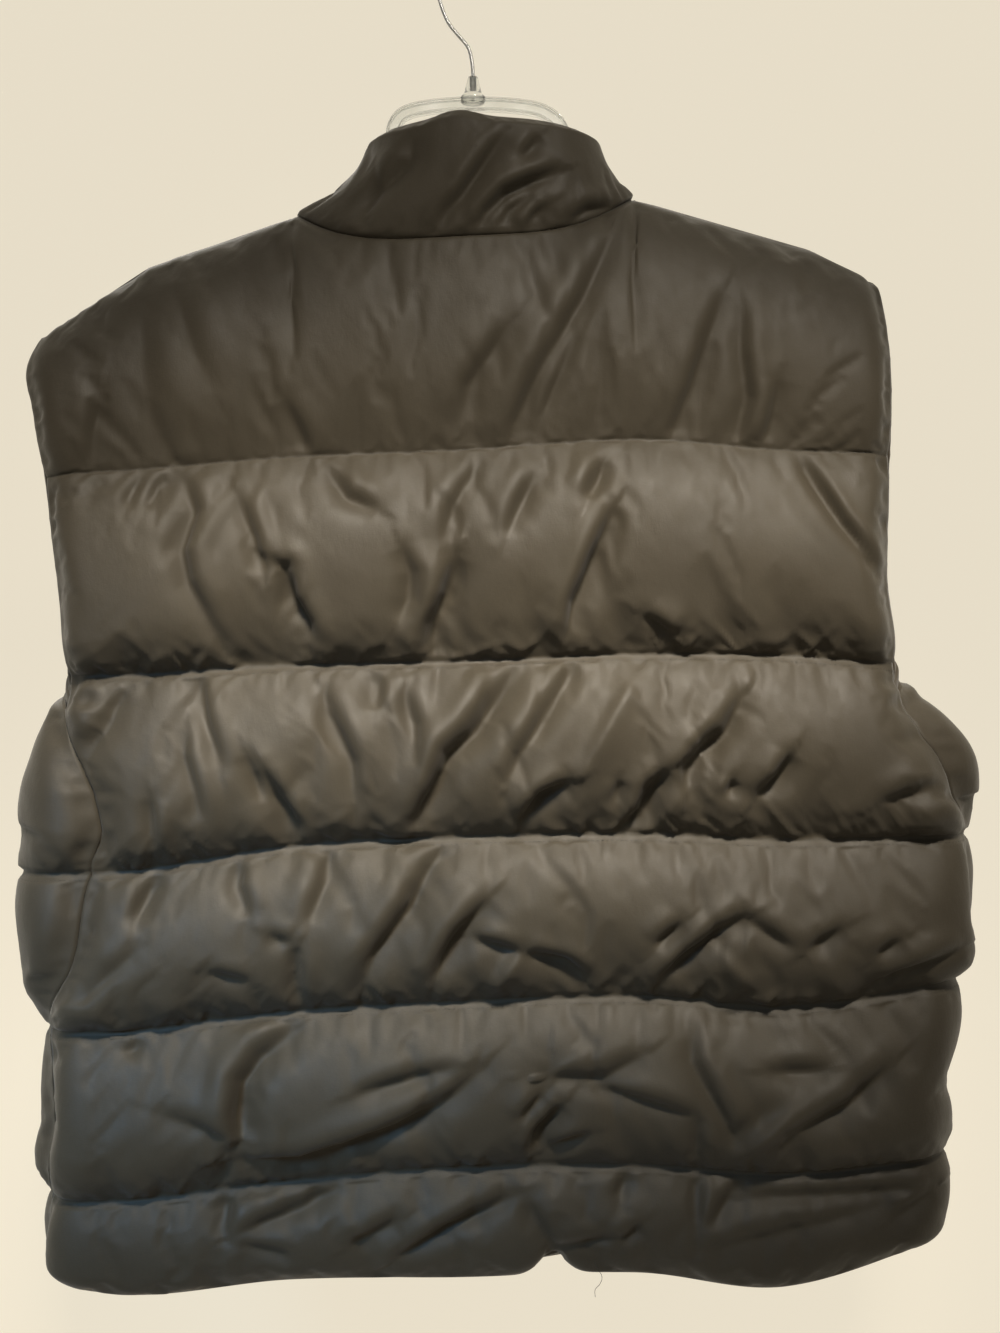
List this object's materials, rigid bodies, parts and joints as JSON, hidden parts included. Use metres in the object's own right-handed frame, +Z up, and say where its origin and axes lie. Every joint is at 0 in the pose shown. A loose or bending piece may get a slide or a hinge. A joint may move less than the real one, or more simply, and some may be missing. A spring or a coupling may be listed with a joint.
{
  "type": "puffer vest on a clothes hanger",
  "caption": "Padded sleeveless vest with wide quilted channels, stand collar and front zip, zipped shut on a clear hanger with a wire hook.",
  "frame": {"origin": "inner top of the hanger's hook, where a rail carries it", "axes": "+Z up, +Y towards the zipped front, +X to the right of someone who looks at the garment's back"},
  "size_m": [0.6781, 0.1389, 0.9461],
  "materials": {
    "cloth": "thin olive-grey taffeta with a soft sheen, puckered at its quilting lines",
    "trim": "the same taffeta turned and topstitched round the armholes",
    "tape": "woven zip tape",
    "teeth": "dark moulded zip teeth",
    "metal": "dark nickel zip slider and pull",
    "clear": "clear moulded styrene",
    "wire": "bright plated wire"
  },
  "bodies": {
    "vest": {"back": "cloth", "front_left": "cloth", "front_right": "cloth", "collar": "cloth", "armhole_left": "trim", "armhole_right": "trim", "zip_tape_left": "tape", "zip_tape_right": "tape", "zip_chain": "teeth", "zip_slider": "metal", "hanger_body": "clear", "hanger_hook": "wire"},
    "zip_pull": {"zip_pull": "metal"}
  },
  "joints": [
    {"name": "zip_pull_swing", "type": "hinge", "parent": "vest", "child": "zip_pull", "pos_m": [0.006, 0.0521, -0.186], "axis": [1, 0, 0], "range_deg": [0, 170]}
  ]
}
